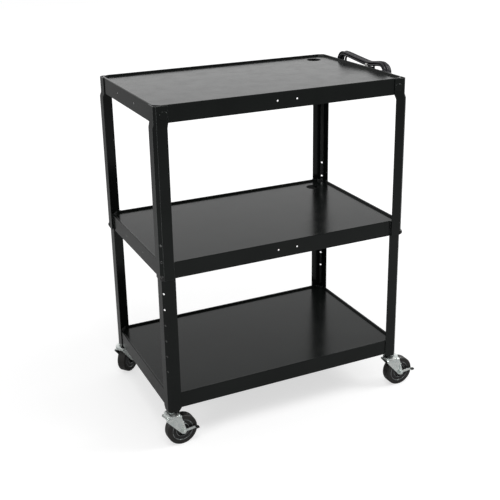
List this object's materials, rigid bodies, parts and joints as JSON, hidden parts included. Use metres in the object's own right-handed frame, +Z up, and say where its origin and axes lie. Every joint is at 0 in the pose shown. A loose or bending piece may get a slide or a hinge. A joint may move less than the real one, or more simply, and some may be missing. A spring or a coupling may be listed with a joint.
{
  "type": "projector cart",
  "caption": "Rolling steel cart: lipped shelves on height-adjustable legs, swivel casters with side brakes, and a power strip whose cord is wound in a hank.",
  "frame": {"origin": "on the floor, at the middle of the cart's outline with the casters as pictured", "axes": "+X to the right along the shelves, +Y to the back, +Z up"},
  "size_m": [0.9036, 0.5827, 1.0904],
  "materials": {
    "powder_coat": "lightly textured black powder coat",
    "black_hardware": "black oxide",
    "zinc": "bright zinc plate",
    "tyre_rubber": "soft grey-black rubber",
    "hub_plastic": "moulded, satin",
    "brake_cap": "matt",
    "strip_paint": "satin black",
    "outlet_plastic": "satin",
    "cord_jacket": "satin jacket",
    "tie": "white",
    "brass": "bright"
  },
  "bodies": {
    "lower_frame": {"middle_shelf": "powder_coat", "bottom_shelf": "powder_coat", "caster_plates": "zinc", "stem_nuts": "zinc", "swivel_balls": "zinc", "lower_leg_front_left": "powder_coat", "lower_leg_front_right": "powder_coat", "lower_leg_rear_left": "powder_coat", "lower_leg_rear_right": "powder_coat", "swivel_head_front_left": "zinc", "swivel_head_front_right": "zinc", "swivel_head_rear_left": "zinc", "swivel_head_rear_right": "zinc"},
    "upper_frame": {"top_shelf": "powder_coat", "height_bolts": "black_hardware", "height_nuts": "zinc", "leg_rivets": "black_hardware", "upper_leg_front_left": "powder_coat", "upper_leg_front_right": "powder_coat", "upper_leg_rear_left": "powder_coat", "upper_leg_rear_right": "powder_coat", "strip_bracket": "strip_paint", "strip_housing": "strip_paint", "strip_outlets": "outlet_plastic", "strip_screws": "zinc", "strip_nuts": "zinc", "strain_relief": "outlet_plastic", "cord_lead": "cord_jacket", "cord_hank": "cord_jacket", "cord_tail": "cord_jacket", "hank_tie": "tie", "plug_body": "outlet_plastic", "plug_blades": "brass"},
    "fork_front_left": {"fork_front_left": "zinc", "axle_front_left": "zinc", "axle_sleeve_front_left": "zinc"},
    "wheel_front_left": {"hub_front_left": "hub_plastic", "tyre_front_left": "tyre_rubber"},
    "brake_front_left": {"brake_lever_front_left": "zinc", "brake_cap_front_left": "brake_cap"},
    "fork_front_right": {"fork_front_right": "zinc", "axle_front_right": "zinc", "axle_sleeve_front_right": "zinc"},
    "wheel_front_right": {"hub_front_right": "hub_plastic", "tyre_front_right": "tyre_rubber"},
    "brake_front_right": {"brake_lever_front_right": "zinc", "brake_cap_front_right": "brake_cap"},
    "fork_rear_left": {"fork_rear_left": "zinc", "axle_rear_left": "zinc", "axle_sleeve_rear_left": "zinc"},
    "wheel_rear_left": {"hub_rear_left": "hub_plastic", "tyre_rear_left": "tyre_rubber"},
    "fork_rear_right": {"fork_rear_right": "zinc", "axle_rear_right": "zinc", "axle_sleeve_rear_right": "zinc"},
    "wheel_rear_right": {"hub_rear_right": "hub_plastic", "tyre_rear_right": "tyre_rubber"}
  },
  "joints": [
    {"name": "height_adjust", "type": "slide", "parent": "lower_frame", "child": "upper_frame", "axis": [0, 0, 1], "range_m": [-0.3048, 0]},
    {"name": "swivel_front_left", "type": "hinge", "parent": "lower_frame", "child": "fork_front_left", "pos_m": [-0.42374, -0.25881, 0.1027], "axis": [0, 0, 1], "continuous": true},
    {"name": "roll_front_left", "type": "hinge", "parent": "fork_front_left", "child": "wheel_front_left", "pos_m": [-0.39508, -0.25731, 0.049], "axis": [-0.0523, 0.9986, 0], "continuous": true},
    {"name": "brake_front_left", "type": "hinge", "parent": "fork_front_left", "child": "brake_front_left", "pos_m": [-0.39508, -0.25731, 0.049], "axis": [-0.0523, 0.9986, 0], "range_deg": [0, 20]},
    {"name": "swivel_front_right", "type": "hinge", "parent": "lower_frame", "child": "fork_front_right", "pos_m": [0.37006, -0.25881, 0.1027], "axis": [0, 0, 1], "continuous": true},
    {"name": "roll_front_right", "type": "hinge", "parent": "fork_front_right", "child": "wheel_front_right", "pos_m": [0.39875, -0.25831, 0.049], "axis": [-0.0175, 0.9998, 0], "continuous": true},
    {"name": "brake_front_right", "type": "hinge", "parent": "fork_front_right", "child": "brake_front_right", "pos_m": [0.39875, -0.25831, 0.049], "axis": [-0.0175, 0.9998, 0], "range_deg": [0, 20]},
    {"name": "swivel_rear_left", "type": "hinge", "parent": "lower_frame", "child": "fork_rear_left", "pos_m": [-0.42374, 0.23019, 0.1027], "axis": [0, 0, 1], "continuous": true},
    {"name": "roll_rear_left", "type": "hinge", "parent": "fork_rear_left", "child": "wheel_rear_left", "pos_m": [-0.40176, 0.24864, 0.049], "axis": [-0.6428, 0.766, 0], "continuous": true},
    {"name": "swivel_rear_right", "type": "hinge", "parent": "lower_frame", "child": "fork_rear_right", "pos_m": [0.37006, 0.23019, 0.1027], "axis": [0, 0, 1], "continuous": true},
    {"name": "roll_rear_right", "type": "hinge", "parent": "fork_rear_right", "child": "wheel_rear_right", "pos_m": [0.39667, 0.24094, 0.049], "axis": [-0.3746, 0.9272, 0], "continuous": true}
  ]
}
